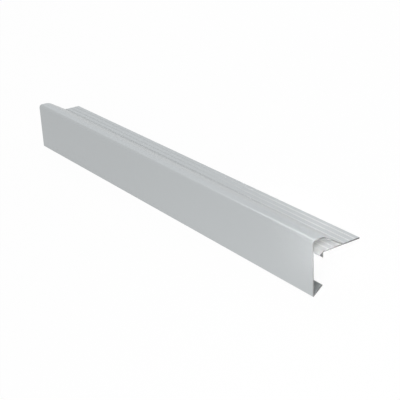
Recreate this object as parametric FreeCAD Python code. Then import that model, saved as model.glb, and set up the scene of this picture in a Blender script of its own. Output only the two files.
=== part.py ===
import FreeCAD, Part
import math
import os

# Aluminium edge trim for a flat roof: one extruded length with sawn ends.
# The section is drawn as it is fitted: depth runs back from the fascia's face and
# height runs up from the fascia's foot. The length is then turned to lie as it rests
# on a floor, on the bend of the drip lip and on the back edge of the flange.

# Driving dimensions in millimetres and degrees
LENGTH = 567.0
HEIGHT = 60.0
DEPTH = 60.0
WALL = 1.3
FLANGE_TOP = 45.0

# Upstand: nose, flat crest and the slope down to the flange
NOSE_RADIUS = 4.0
CREST_END = 14.4
CREST_RADIUS = 16.0
SLOPE_ANGLE = 31.5
VALLEY_RADIUS = 3.0
WEDGE_RADIUS = 0.3

# Drip lip at the fascia's foot
LIP_ANGLE = 38.0
LIP_LENGTH = 16.0
BEND_RADIUS = 1.0
BEND_INSIDE = 0.3

# Shelf under the upstand, with the barb that a joint piece snaps behind
SHELF_FRONT = 13.4
SHELF_EDGE_RADIUS = 0.5
BARB_BACK = 13.2
BARB_BOTTOM = 37.8
BARB_TIP = 8.8
BARB_TIP_HEIGHT = 41.9
BARB_RADIUS = 0.5
BARB_INSIDE = 0.4

# Small roundings of the extruded edges
EDGE_RADIUS = 0.3

# Grip ribs on the flange and on the shelf
RIB_PITCH = 6.85
RIB_FIRST = 20.1
RIB_HALF_WIDTH = 0.8
RIB_HEIGHT = 0.4

# The lines that the section is made from
slope = math.radians(SLOPE_ANGLE)
lip = math.radians(LIP_ANGLE)
shelf_bottom = FLANGE_TOP - WALL
crest_under = HEIGHT - WALL
# The slope's upper face meets the flange at the valley, its lower face at the wedge
valley_y = CREST_END + (HEIGHT - FLANGE_TOP) / math.tan(slope)
wedge_y = valley_y - WALL / math.sin(slope)
crest_under_y = CREST_END - WALL * math.tan(slope / 2.0)


def unit(a, b):
    """Direction from point a to point b."""
    d = b.sub(a)
    d.normalize()
    return d


def corner_arc(before, corner, after, radius):
    """Rounding of a corner: start, middle and end of an arc of the given radius."""
    to_before = unit(corner, before)
    to_after = unit(corner, after)
    half = to_before.getAngle(to_after) / 2.0
    reach = radius / math.tan(half)
    start = corner + to_before * reach
    end = corner + to_after * reach
    inward = to_before + to_after
    inward.normalize()
    middle = corner + inward * (radius / math.sin(half) - radius)
    return start, middle, end


def closed_wire(corners):
    """Closed wire through (depth, height, rounding) corners, each rounded by an arc."""
    points = [FreeCAD.Vector(0.0, y, z) for y, z, radius in corners]
    count = len(points)
    arcs = []
    for i in range(count):
        arcs.append(corner_arc(points[i - 1], points[i], points[(i + 1) % count], corners[i][2]))
    edges = []
    for i in range(count):
        start, middle, end = arcs[i]
        next_start = arcs[(i + 1) % count][0]
        edges.append(Part.Arc(start, middle, end).toShape())
        edges.append(Part.makeLine(end, next_start))
    return Part.Wire(edges)


# The foot corner is where the fascia's face and the lip's outer face would cross.
# It lies a little below the level of the foot, which the bend between them touches.
foot_z = BEND_RADIUS - BEND_RADIUS / math.tan((math.pi / 2.0 - lip) / 2.0)
tip_y = LIP_LENGTH * math.cos(lip)
tip_z = foot_z + LIP_LENGTH * math.sin(lip)
inner_tip_y = tip_y - WALL * math.sin(lip)
inner_tip_z = tip_z + WALL * math.cos(lip)
# The lip's inner face meets the fascia's back face
inner_foot_z = foot_z + WALL * math.tan(lip) + WALL / math.cos(lip)

section = [
    (tip_y, tip_z, EDGE_RADIUS),
    (0.0, foot_z, BEND_RADIUS),
    (0.0, HEIGHT, NOSE_RADIUS),
    (CREST_END, HEIGHT, CREST_RADIUS),
    (valley_y, FLANGE_TOP, VALLEY_RADIUS),
    (DEPTH, FLANGE_TOP, EDGE_RADIUS),
    (DEPTH, shelf_bottom, EDGE_RADIUS),
    (BARB_BACK, shelf_bottom, BARB_INSIDE),
    (BARB_BACK, BARB_BOTTOM, BARB_RADIUS),
    (BARB_TIP, BARB_TIP_HEIGHT, BARB_RADIUS),
    (SHELF_FRONT, FLANGE_TOP, SHELF_EDGE_RADIUS),
    (wedge_y, FLANGE_TOP, WEDGE_RADIUS),
    (crest_under_y, crest_under, CREST_RADIUS - WALL),
    (WALL, crest_under, NOSE_RADIUS - WALL),
    (WALL, inner_foot_z, BEND_INSIDE),
    (inner_tip_y, inner_tip_z, EDGE_RADIUS),
]
profile = Part.Face(closed_wire(section)).extrude(FreeCAD.Vector(LENGTH, 0.0, 0.0))

# Ribs: round bars along the whole length, sunk into the sheet so that a low arch stands out
rib_radius = (RIB_HALF_WIDTH ** 2 + RIB_HEIGHT ** 2) / (2.0 * RIB_HEIGHT)
rib_axis_z = FLANGE_TOP + RIB_HEIGHT - rib_radius
ribs = []
rib_y = RIB_FIRST
while rib_y < DEPTH - RIB_HALF_WIDTH:
    # No rib starts inside the metal where the slope meets the flange
    if rib_y + RIB_HALF_WIDTH < wedge_y or rib_y - RIB_HALF_WIDTH > valley_y:
        start = FreeCAD.Vector(0.0, rib_y, rib_axis_z)
        ribs.append(Part.makeCylinder(rib_radius, LENGTH, start, FreeCAD.Vector(1, 0, 0)))
    rib_y += RIB_PITCH
profile = profile.fuse(ribs).removeSplitter()

# Turn the length to its rest: a line touches the foot's bend and the flange's back edge
across = DEPTH - EDGE_RADIUS - BEND_RADIUS
up = shelf_bottom + EDGE_RADIUS - BEND_RADIUS
gap = math.hypot(across, up)
rest_angle = math.degrees(math.atan2(up, across) + math.asin((BEND_RADIUS - EDGE_RADIUS) / gap))
profile.rotate(FreeCAD.Vector(0, 0, 0), FreeCAD.Vector(1, 0, 0), -rest_angle)

# Origin in the middle of the footprint, on the floor
box = profile.optimalBoundingBox()
profile.translate(FreeCAD.Vector(-box.Center.x, -box.Center.y, -box.ZMin))

trim = profile.Solids[0]
print("rest angle", round(rest_angle, 3), "shift", [round(v, 3) for v in (-box.Center.y, -box.ZMin)])
print("solids", len(profile.Solids), "valid", profile.isValid(), "volume cm3", round(trim.Volume / 1000.0, 2))
box = trim.optimalBoundingBox()
print("box", round(box.XLength, 2), round(box.YLength, 2), round(box.ZLength, 2))
print("centre of mass", [round(v, 2) for v in trim.CenterOfMass])

os.makedirs("parts", exist_ok=True)
trim.exportStep("parts/trim_profile.step")
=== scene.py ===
# %% [markdown]
# # An edge trim for a flat roof, in extruded aluminium
# The real trim is one long piece of metal pressed through a die, so every cut across it
# shows the same section. It closes the edge of a flat roof: the tall face looks out from
# the building, the rounded upstand keeps water on the roof, and the ribbed flange is
# nailed to the deck and covered by the roof's sheet.
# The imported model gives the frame. It is one solid, and it lies as it rests on a floor.

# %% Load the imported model
import math

import bpy
import numpy as np
from mathutils import Matrix, Vector


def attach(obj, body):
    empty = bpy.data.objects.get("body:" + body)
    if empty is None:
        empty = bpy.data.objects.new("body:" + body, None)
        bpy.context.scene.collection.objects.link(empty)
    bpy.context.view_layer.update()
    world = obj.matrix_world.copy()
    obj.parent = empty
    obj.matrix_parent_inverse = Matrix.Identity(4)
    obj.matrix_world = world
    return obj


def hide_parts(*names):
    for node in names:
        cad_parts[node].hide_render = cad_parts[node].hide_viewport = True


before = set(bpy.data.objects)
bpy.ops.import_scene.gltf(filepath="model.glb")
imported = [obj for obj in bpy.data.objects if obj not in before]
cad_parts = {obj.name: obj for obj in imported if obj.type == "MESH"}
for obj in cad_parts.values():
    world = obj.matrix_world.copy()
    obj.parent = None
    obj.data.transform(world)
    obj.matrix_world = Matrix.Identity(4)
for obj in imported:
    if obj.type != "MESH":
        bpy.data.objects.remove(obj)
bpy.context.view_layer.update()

NODE = "trim_profile"
BODY = "root"
MM = 0.001

# %% [markdown]
# ## The section, drawn as it is fitted
# A drawing of this trim gives depth from the face and height from its foot, so the
# section is easiest to read upright. Its corners are rounded by arcs, as a die's are.
# The values are the real sizes, in millimetres and degrees.

# %% Sizes of the section
LENGTH = 567.0
HEIGHT = 60.0
DEPTH = 60.0
WALL = 1.3
FLANGE_TOP = 45.0
NOSE_RADIUS = 4.0
CREST_END = 14.4
CREST_RADIUS = 16.0
SLOPE = math.radians(31.5)
VALLEY_RADIUS = 3.0
WEDGE_RADIUS = 0.3
LIP = math.radians(38.0)
LIP_LENGTH = 16.0
BEND_RADIUS = 1.0
BEND_INSIDE = 0.3
SHELF_FRONT = 13.4
SHELF_EDGE_RADIUS = 0.5
BARB_BACK = 13.2
BARB_BOTTOM = 37.8
BARB_TIP = 8.8
BARB_TIP_HEIGHT = 41.9
BARB_RADIUS = 0.5
BARB_INSIDE = 0.4
EDGE_RADIUS = 0.3
RIB_PITCH = 6.85
RIB_FIRST = 20.1
RIB_HALF_WIDTH = 0.8
RIB_HEIGHT = 0.4
print("section", DEPTH, "deep and", HEIGHT, "high, with a wall of", WALL, "mm")

# %% Round one corner of the section
ARC_STEP = math.radians(7.0)


def rounding(before, corner, after):
    """Points of the arc that rounds a corner, each given as depth, height and radius.

    The arc's centre lies on the corner's halving line, radius / sin(half angle) away,
    and it starts and ends radius / tan(half angle) from the corner.
    """
    radius = corner[2]
    before, corner, after = (np.array(p[:2], float) for p in (before, corner, after))
    to_before = (before - corner) / np.linalg.norm(before - corner)
    to_after = (after - corner) / np.linalg.norm(after - corner)
    half = math.acos(float(np.clip(to_before @ to_after, -1.0, 1.0))) / 2.0
    halving = (to_before + to_after) / np.linalg.norm(to_before + to_after)
    centre = corner + halving * radius / math.sin(half)
    start = corner + to_before * radius / math.tan(half) - centre
    end = corner + to_after * radius / math.tan(half) - centre
    sweep = math.pi - 2.0 * half
    steps = max(2, math.ceil(sweep / ARC_STEP))
    t = np.linspace(0.0, 1.0, steps + 1)[:, None]
    # Turning from start to end at an even rate keeps the points on the circle
    return centre + (np.sin((1.0 - t) * sweep) * start + np.sin(t * sweep) * end) / math.sin(sweep)


# %% Draw ribs on a level run
RIB_POINTS = 9
rib_radius = (RIB_HALF_WIDTH ** 2 + RIB_HEIGHT ** 2) / (2.0 * RIB_HEIGHT)


def ribs_between(low, high):
    """Points of the ribs whose middles lie between two depths, in order of depth.

    A rib is the part of a circle that stands out of the flange. At an angle a from
    upright, depth = middle + radius * sin(a) and height = top of rib - radius * (1 - cos(a)).
    """
    middles = np.arange(RIB_FIRST, DEPTH, RIB_PITCH)
    middles = middles[(middles > low) & (middles < high)]
    widest = math.asin(RIB_HALF_WIDTH / rib_radius)
    angle = np.linspace(-widest, widest, RIB_POINTS)
    depth = middles[:, None] + rib_radius * np.sin(angle)
    height = FLANGE_TOP + RIB_HEIGHT - rib_radius * (1.0 - np.cos(angle))
    return np.stack([depth.ravel(), np.tile(height, len(middles))], axis=1)


# %% Corners of the section
valley_y = CREST_END + (HEIGHT - FLANGE_TOP) / math.tan(SLOPE)
wedge_y = valley_y - WALL / math.sin(SLOPE)
shelf_bottom = FLANGE_TOP - WALL
crest_under = HEIGHT - WALL
crest_under_y = CREST_END - WALL * math.tan(SLOPE / 2.0)
foot_z = BEND_RADIUS - BEND_RADIUS / math.tan((math.pi / 2.0 - LIP) / 2.0)
inner_foot_z = foot_z + WALL * math.tan(LIP) + WALL / math.cos(LIP)
tip = np.array([LIP_LENGTH * math.cos(LIP), foot_z + LIP_LENGTH * math.sin(LIP)])
tip_inner = tip + WALL * np.array([-math.sin(LIP), math.cos(LIP)])

valley = (valley_y, FLANGE_TOP, VALLEY_RADIUS)
barb_tip = (BARB_TIP, BARB_TIP_HEIGHT, BARB_RADIUS)
shelf_edge = (SHELF_FRONT, FLANGE_TOP, SHELF_EDGE_RADIUS)
inner_nose = (WALL, crest_under, NOSE_RADIUS - WALL)
corners = [
    (*tip, EDGE_RADIUS),
    (0.0, foot_z, BEND_RADIUS),
    (0.0, HEIGHT, NOSE_RADIUS),
    (CREST_END, HEIGHT, CREST_RADIUS),
    valley,
    (DEPTH, FLANGE_TOP, EDGE_RADIUS),
    (DEPTH, shelf_bottom, EDGE_RADIUS),
    (BARB_BACK, shelf_bottom, BARB_INSIDE),
    (BARB_BACK, BARB_BOTTOM, BARB_RADIUS),
    barb_tip,
    shelf_edge,
    (wedge_y, FLANGE_TOP, WEDGE_RADIUS),
    (crest_under_y, crest_under, CREST_RADIUS - WALL),
    inner_nose,
    (WALL, inner_foot_z, BEND_INSIDE),
    (*tip_inner, EDGE_RADIUS),
]
ribs_after = {
    valley: ribs_between(valley_y + RIB_HALF_WIDTH, DEPTH - RIB_HALF_WIDTH),
    shelf_edge: ribs_between(SHELF_FRONT, wedge_y - RIB_HALF_WIDTH),
}
print(len(corners), "corners")

# %% [markdown]
# ## One outline, and the finish of each face on it
# The outline goes once round the section. Each point also notes the finish of the face that starts there.
# The colour differs on the outside, in the hollow, where light is painted, on the cut, where shade is
# painted, and on the ribs, where a highlight is painted.

# %% Go round the section
# The second finish paints light into the hollow, the third paints shade on the cut, and the fourth paints
# a highlight on the ribs
SATIN, LIT_HOLLOW, SAWN_SHADED, HIGHLIT_RIB = range(4)
points_of_runs = []
finish_of_runs = []
finish = SATIN
for i, corner in enumerate(corners):
    # From the barb's tip round to the inner nose, the faces take painted light
    if corner is barb_tip:
        finish = LIT_HOLLOW
    arc = rounding(corners[i - 1], corner, corners[(i + 1) % len(corners)])
    points_of_runs.append(arc)
    finish_of_runs.append(np.full(len(arc), finish))
    if corner in ribs_after:
        ribs = ribs_after[corner]
        on_ribs = np.full(len(ribs), HIGHLIT_RIB)
        # The face after a rib's last point is the flat up to the next rib
        on_ribs[RIB_POINTS - 1::RIB_POINTS] = finish
        points_of_runs.append(ribs)
        finish_of_runs.append(on_ribs)
    if corner is inner_nose:
        finish = SATIN
outline = np.concatenate(points_of_runs)
finish_round = np.concatenate(finish_of_runs)
print("the section has", len(outline), "points, from", outline.min(0), "to", outline.max(0))

# %% [markdown]
# ## From the fitted section to the length as it rests
# Unheld, the trim tips back until the bend of its drip lip and the back edge of its
# flange both touch the floor. One turn about the length and one shift do that, and the
# camera takes the same turn, so it sees the trim as the picture does.

# %% The turn and the shift to the resting pose
back = np.array([DEPTH - EDGE_RADIUS, shelf_bottom + EDGE_RADIUS])
bend = np.array([BEND_RADIUS, BEND_RADIUS])
across, up = back - bend
rest = math.atan2(up, across) + math.asin((BEND_RADIUS - EDGE_RADIUS) / math.hypot(across, up))
turn = np.array([[math.cos(rest), math.sin(rest)], [-math.sin(rest), math.cos(rest)]])
turned = outline @ turn.T
shift = np.array([-(turned[:, 0].min() + turned[:, 0].max()) / 2.0, -turned[:, 1].min()])
section = (turned + shift) * MM
shift_back = Matrix.Translation(Vector((-LENGTH / 2.0, shift[0], shift[1])) * MM)
to_rest = shift_back @ Matrix.Rotation(-rest, 4, "X")
print("turned by", round(math.degrees(rest), 3), "degrees, shifted by", shift.round(3), "mm")

# %% [markdown]
# ## Camera
# The camera stands in front of the near end and looks along the trim from a little
# above it. Its place is worked out in the fitted pose, where the face is upright.

# %% Camera
CAMERA_AT = (1208.65, -556.38, 467.79)
CAMERA_AZIMUTH = math.radians(56.062)
CAMERA_ELEVATION = math.radians(23.150)
CAMERA_ROLL = math.radians(-2.931)
LENS = 89.95
SENSOR = 36.0

az, el = CAMERA_AZIMUTH, CAMERA_ELEVATION
towards = Vector((math.sin(az) * math.cos(el), -math.cos(az) * math.cos(el), math.sin(el)))
right = Vector((math.cos(az), math.sin(az), 0.0))
above = towards.cross(right)
right, above = (
    math.cos(CAMERA_ROLL) * right + math.sin(CAMERA_ROLL) * above,
    math.cos(CAMERA_ROLL) * above - math.sin(CAMERA_ROLL) * right,
)
looking = Matrix((right, above, towards)).transposed().to_4x4()

camera_data = bpy.data.cameras.new("camera")
camera_data.lens = LENS
camera_data.sensor_width = SENSOR
camera = bpy.data.objects.new("camera", camera_data)
camera.matrix_world = to_rest @ Matrix.Translation(Vector(CAMERA_AT) * MM) @ looking
bpy.context.collection.objects.link(camera)
bpy.context.scene.camera = camera
print("camera at", camera.matrix_world.translation)

# %% [markdown]
# ## The length of metal
# A plain extrude of the section would do, but sawn ends are never razor sharp: a file
# takes off their burr. So the section is carried along the length in rings, and the
# first and last ring are drawn in a little, which leaves a fine bevel.

# %% Carry the section along the length
BURR = 0.12
RINGS = 25


def drawn_in(points, amount):
    """The closed outline moved inwards by an amount: each point goes along its normal.

    The normal is the tangent, from the neighbour before to the one after, turned by
    90 degrees. The outline runs clockwise, so a turn to the right points inwards.
    """
    tangent = np.roll(points, -1, axis=0) - np.roll(points, 1, axis=0)
    tangent /= np.linalg.norm(tangent, axis=1, keepdims=True)
    return points + amount * np.stack([tangent[:, 1], -tangent[:, 0]], axis=1)


def carried(points, stations, insets):
    """Grid of rings: ring i is the outline at x = stations[i], drawn in by insets[i]."""
    rings = np.array([drawn_in(points, inset) for inset in insets])
    x = np.broadcast_to(stations[:, None, None], (len(stations), len(points), 1))
    return np.concatenate([x, rings], axis=2)


end_x = LENGTH / 2.0 * MM
inner_stations = np.linspace(-end_x + BURR * MM, end_x - BURR * MM, RINGS)
stations = np.concatenate([[-end_x], inner_stations, [end_x]])
insets = np.zeros(len(stations))
insets[[0, -1]] = BURR * MM
grid = carried(section, stations, insets)
print("grid of", grid.shape[0], "rings by", grid.shape[1], "points")

# %% Turn the grid into a closed mesh
SHARP_FROM = math.radians(35.0)
rows, columns = grid.shape[:2]
index = np.arange(rows * columns).reshape(rows, columns)
beside = np.roll(index, -1, axis=1)
# Seen from outside, a face's corners run anticlockwise, so that it points outwards
quads = np.stack([index[:-1], index[1:], beside[1:], beside[:-1]], axis=2).reshape(-1, 4)
caps = [index[0].tolist(), index[-1][::-1].tolist()]

mesh = bpy.data.meshes.new("roof_edge_trim")
mesh.from_pydata(grid.reshape(-1, 3).tolist(), [], quads.tolist() + caps)
mesh.validate()
mesh.update()
trim = bpy.data.objects.new("roof_edge_trim", mesh)
bpy.context.collection.objects.link(trim)
mesh.shade_smooth()
mesh.set_sharp_from_angle(angle=SHARP_FROM)
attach(trim, BODY)
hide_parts(NODE)
print("mesh:", len(mesh.vertices), "points and", len(mesh.polygons), "faces")

# %% Give every face its finish
finish_of = np.tile(finish_round, (rows - 1, 1))
# The bevel rows take the finish of the cut, with its painted shade
finish_of[[0, -1]] = SAWN_SHADED
finish_of = np.concatenate([finish_of.ravel(), [SAWN_SHADED] * len(caps)]).astype(np.int32)
print("faces of each finish:", np.bincount(finish_of))

# %% [markdown]
# ## Writing a material as sums
# Blender's materials are nets of nodes. A small class lets a net be written as Python
# sums: it wraps a socket, and each operator adds one Math node.

# %% A socket that can be reckoned with


class Value:
    """A socket of a material's net, with +, - and * that add Math nodes."""

    def __init__(self, net, socket):
        self.net = net
        self.socket = socket

    def _math(self, operation, first, second):
        return self.net.node("ShaderNodeMath", {"operation": operation}, {0: first, 1: second})

    def __add__(self, other):
        return self._math("ADD", self, other)

    __radd__ = __add__

    def __sub__(self, other):
        return self._math("SUBTRACT", self, other)

    def __rsub__(self, other):
        return self._math("SUBTRACT", other, self)

    def __mul__(self, other):
        return self._math("MULTIPLY", self, other)

    __rmul__ = __mul__


# %% The net of one material


class Net:
    """The nodes of one material."""

    def __init__(self, name):
        self.material = bpy.data.materials.new(name)
        self.material.use_nodes = True
        self.tree = self.material.node_tree
        self.tree.nodes.clear()

    def node(self, kind, settings=None, sockets=None, out=0):
        """Adds a node: its settings first, then the values or links of its sockets."""
        made = self.tree.nodes.new(kind)
        for key, value in (settings or {}).items():
            setattr(made, key, value)
        for key, value in (sockets or {}).items():
            if isinstance(value, Value):
                self.tree.links.new(value.socket, made.inputs[key])
            else:
                made.inputs[key].default_value = value
        return Value(self, made.outputs[out])

    def object_place(self):
        """Where a point lies on the object, in metres."""
        return self.node("ShaderNodeTexCoord", out=3)

    def mixed(self, factor, first, second):
        """A colour between two: the first at factor 0 and the second at factor 1."""
        return self.node("ShaderNodeMix", {"data_type": "RGBA"}, {0: factor, 6: first, 7: second}, out=2)

    def rise(self, value, start, end):
        """0 up to the start, 1 from the end on, and even in between."""
        return self.node("ShaderNodeMapRange", sockets={0: value, 1: start, 2: end})

    def finish(self, shader):
        """Ends the net in its shader and gives the material."""
        out = self.tree.nodes.new("ShaderNodeOutputMaterial")
        self.tree.links.new(shader.socket, out.inputs["Surface"])
        return self.material

    def metal(self, colour, metallic, roughness, **more):
        """Ends the net in a Principled shader, with any more of its sockets by name."""
        sockets = {"Base Color": colour, "Metallic": metallic, "Roughness": roughness, **more}
        return self.finish(self.node("ShaderNodeBsdfPrincipled", sockets=sockets))


# %% Grain that is drawn out one way
GRAIN_DETAIL = 2.0
NO_TURN = (0.0, 0.0, 0.0)


def grain(net, place, scale, turned_by=NO_TURN):
    """Noise of a place turned and scaled: its grain is long where the scale is small."""
    mapped = net.node(
        "ShaderNodeMapping",
        sockets={"Vector": place, "Rotation": turned_by, "Scale": scale},
    )
    return net.node("ShaderNodeTexNoise", sockets={"Vector": mapped, "Scale": 1.0, "Detail": GRAIN_DETAIL})


# %% How far behind the face


def behind_face(net, place):
    """Depth of a place behind the trim's face, in metres: y and z turned back upright."""
    backwards = (0.0, math.cos(rest), -math.sin(rest))
    face_at = (shift[0] * math.cos(rest) - shift[1] * math.sin(rest)) * MM
    sockets = {0: place, 1: backwards}
    dot = net.node("ShaderNodeVectorMath", {"operation": "DOT_PRODUCT"}, sockets, out=1)
    return dot - face_at


# %% [markdown]
# ## Satin aluminium
# Extruded aluminium carries die lines: fine scratches that run the whole length. They
# come from noise that is stretched along X, and they change the gloss and the bump. A
# wide soft noise adds the slight clouding of a surface that was never polished.

# %% Satin aluminium
SATIN_DARK = (0.525, 0.550, 0.560, 1.0)
SATIN_LIGHT = (0.545, 0.570, 0.580, 1.0)
DIE_LINES = (4.0, 4000.0, 4000.0)
CLOUDS = (14.0, 14.0, 14.0)
DIE_GLOSS = 0.04
net = Net("satin_aluminium")
place = net.object_place()
die_lines = grain(net, place, DIE_LINES)
cloud = grain(net, place, CLOUDS)
bump = net.node("ShaderNodeBump", sockets={"Strength": 0.01, "Distance": 0.00002, "Height": die_lines})
satin_aluminium = net.metal(
    colour=net.mixed(0.5 * die_lines + 0.5 * cloud, SATIN_DARK, SATIN_LIGHT),
    metallic=0.4,
    roughness=0.29 + DIE_GLOSS * die_lines + 0.02 * cloud,
    Normal=bump,
)
print(satin_aluminium.name, "has", len(net.tree.nodes), "nodes")

# %% [markdown]
# ## Inner faces with painted light
# The faces in the hollow of the upstand and behind the face are painted lighter. This painted light lifts
# the shade there. They have the same die lines.

# %% Painted light on the inner faces
PAINTED_LIGHT_DARKER = (0.75, 0.76, 0.765, 1.0)
PAINTED_LIGHT_LIGHTER = (0.79, 0.80, 0.805, 1.0)
net = Net("hollow_painted_light")
die_lines = grain(net, net.object_place(), DIE_LINES)
hollow_painted_light = net.metal(
    colour=net.mixed(die_lines, PAINTED_LIGHT_DARKER, PAINTED_LIGHT_LIGHTER),
    metallic=0.1,
    roughness=0.30 + DIE_GLOSS * die_lines,
)
print(hollow_painted_light.name, "has", len(net.tree.nodes), "nodes")

# %% [markdown]
# ## Sawn ends with painted shade
# The saw leaves fine parallel marks across the section, so the cut is duller than the faces. Shade is also
# painted into its colour. It is lightest on the face and darkest over the crest and on the flange. On the
# slope and the shelf it lies in between. The filed bevel has the same finish, whose roughness keeps it
# from glinting, and the same painted shade.

# %% Sawn ends with painted shade
CUT_LEAST_SHADE = (0.34, 0.34, 0.34, 1.0)
CUT_PAINTED_SHADE = (0.09, 0.09, 0.09, 1.0)
SAW_MARKS = (1.0, 4000.0, 150.0)
SAW_TURN = (0.5, 0.0, 0.0)
# Depths behind the face, in metres, between which the painted shade on the cut comes in, eases and comes
# in again
CREST_SHADE = (0.002, 0.008)
SHELF_SHADE_EASES = (0.013, 0.017)
EDGE_SHADE = (0.034, 0.042)
SHADE_EASING = 0.6
net = Net("sawn_painted_shade")
place = net.object_place()
saw = grain(net, place, SAW_MARKS, SAW_TURN)
behind = behind_face(net, place)
# Painted shade on the cut, set by depth behind the face
shade_bands = (
    net.rise(behind, *CREST_SHADE)
    - SHADE_EASING * net.rise(behind, *SHELF_SHADE_EASES)
    + SHADE_EASING * net.rise(behind, *EDGE_SHADE)
)
bump = net.node("ShaderNodeBump", sockets={"Strength": 0.2, "Distance": 0.00003, "Height": saw})
sawn_painted_shade = net.metal(
    colour=net.mixed(shade_bands * (0.8 + 0.2 * saw), CUT_LEAST_SHADE, CUT_PAINTED_SHADE),
    metallic=0.2,
    roughness=0.5 + 0.15 * saw,
    Normal=bump,
)
print(sawn_painted_shade.name, "has", len(net.tree.nodes), "nodes")

# %% [markdown]
# ## Ribs with a painted highlight
# The ribs are painted lighter towards the near end, as a highlight along them. In the hollow they are
# painted lighter still, and this painted light also lifts the shade there.

# %% Ribs with a painted highlight
RIB_HIGHLIGHT_IN_HOLLOW = (0.92, 0.93, 0.93, 1.0)
RIB_HIGHLIGHT_OUTSIDE = (0.73, 0.74, 0.74, 1.0)
RIB_WITHOUT_HIGHLIGHT = (0.535, 0.560, 0.570, 1.0)
HIGHLIGHT_ALONG = (0.0, 0.25)
HOLLOW_ENDS = (0.034, 0.036)
net = Net("ribs_painted_highlight")
place = net.object_place()
lengthwise = net.node("ShaderNodeSeparateXYZ", sockets={0: place})
outside = net.rise(behind_face(net, place), *HOLLOW_ENDS)
highlight_colour = net.mixed(outside, RIB_HIGHLIGHT_IN_HOLLOW, RIB_HIGHLIGHT_OUTSIDE)
ribs_painted_highlight = net.metal(
    colour=net.mixed(net.rise(lengthwise, *HIGHLIGHT_ALONG), RIB_WITHOUT_HIGHLIGHT, highlight_colour),
    metallic=0.1,
    roughness=0.5,
)
print(ribs_painted_highlight.name, "has", len(net.tree.nodes), "nodes")

# %% Put the finishes on the mesh
# In the order of the finishes: satin, painted light of the hollow, the cut with painted shade, and the
# ribs with a painted highlight
for material in (satin_aluminium, hollow_painted_light, sawn_painted_shade, ribs_painted_highlight):
    mesh.materials.append(material)
mesh.polygons.foreach_set("material_index", finish_of)
mesh.update()
print("finishes:", [material.name for material in mesh.materials])

# %% [markdown]
# ## Floor, world and lamps
# A white floor and a white world show the metal as a catalogue does. The floor is lit
# for the metal and mixed towards plain white only where the camera sees it, and the
# world is dimmer for the metal than for the camera.

# %% Floor
FLOOR_HALF = 6.0
FLOOR_PAINT = (0.9, 0.9, 0.9, 1.0)
FLOOR_LIFT = 0.95
corners_of_floor = [
    (-FLOOR_HALF, -FLOOR_HALF, 0.0),
    (FLOOR_HALF, -FLOOR_HALF, 0.0),
    (FLOOR_HALF, FLOOR_HALF, 0.0),
    (-FLOOR_HALF, FLOOR_HALF, 0.0),
]
floor_mesh = bpy.data.meshes.new("floor")
floor_mesh.from_pydata(corners_of_floor, [], [(0, 1, 2, 3)])
floor = bpy.data.objects.new("floor", floor_mesh)
bpy.context.collection.objects.link(floor)
net = Net("floor")
seen = net.node("ShaderNodeLightPath")
paint = net.node("ShaderNodeBsdfDiffuse", sockets={"Color": FLOOR_PAINT})
white = net.node("ShaderNodeEmission", sockets={"Strength": 1.0})
shader = net.node("ShaderNodeMixShader", sockets={0: FLOOR_LIFT * seen, 1: paint, 2: white})
floor_mesh.materials.append(net.finish(shader))
print("floor", 2.0 * FLOOR_HALF, "metres wide")

# %% World
WORLD_LIGHT = 0.74
WORLD_SEEN = 1.0
world = bpy.data.worlds.new("world")
bpy.context.scene.world = world
world.use_nodes = True
tree = world.node_tree
background = tree.nodes["Background"]
background.inputs["Color"].default_value = (1.0, 1.0, 1.0, 1.0)
light_path = tree.nodes.new("ShaderNodeLightPath")
strength = tree.nodes.new("ShaderNodeMapRange")
strength.inputs["To Min"].default_value = WORLD_LIGHT
strength.inputs["To Max"].default_value = WORLD_SEEN
tree.links.new(light_path.outputs["Is Camera Ray"], strength.inputs["Value"])
tree.links.new(strength.outputs["Result"], background.inputs["Strength"])
print("world lights the metal at", WORLD_LIGHT)

# %% A lamp beside the fitted trim
WHITE = (1.0, 1.0, 1.0)
COOL = (0.80, 0.90, 1.0)


def lamp(name, at, size, power, target, spread=180.0, colour=WHITE):
    """An area lamp at a place beside the fitted trim, in millimetres, turned to a target.

    The size is in metres. The spread, in degrees, is how wide its beam opens.
    """
    place = to_rest @ (Vector(at) * MM)
    direction = to_rest @ (Vector(target) * MM) - place
    aim = direction.to_track_quat("-Z", "Y").to_matrix().to_4x4()
    data = bpy.data.lights.new(name, "AREA")
    data.shape = "RECTANGLE"
    data.size, data.size_y = size
    data.energy = power
    data.spread = math.radians(spread)
    data.color = colour
    obj = bpy.data.objects.new(name, data)
    obj.matrix_world = Matrix.Translation(place) @ aim
    bpy.context.collection.objects.link(obj)


# %% [markdown]
# Four lamps shape the metal. One in front lights the face, most at the near end. One
# beyond the far end draws the white line along the nose. A cool one lies behind and
# above, as an open sky would, and a narrow beam looks into the hollow at the near end.

# %% Lamps
near_end = (LENGTH, 20.0, 40.0)
middle = (250.0, 30.0, 50.0)
hollow = (LENGTH - 5.0, 22.0, 47.0)
lamp("lamp_front", (870.0, -600.0, 325.0), (0.3, 0.3), 1.8, near_end)
lamp("lamp_beyond", (-150.0, 170.0, 876.0), (0.2, 0.06), 1.0, near_end)
lamp("lamp_sky", (-900.0, 900.0, 700.0), (1.2, 0.6), 0.7, middle, colour=COOL)
lamp("lamp_end", (LENGTH + 240.0, -80.0, 108.0), (0.04, 0.04), 0.0112, hollow, spread=13.5)
bpy.context.scene.view_settings.view_transform = "Standard"
print("lamps:", len(bpy.data.lights))
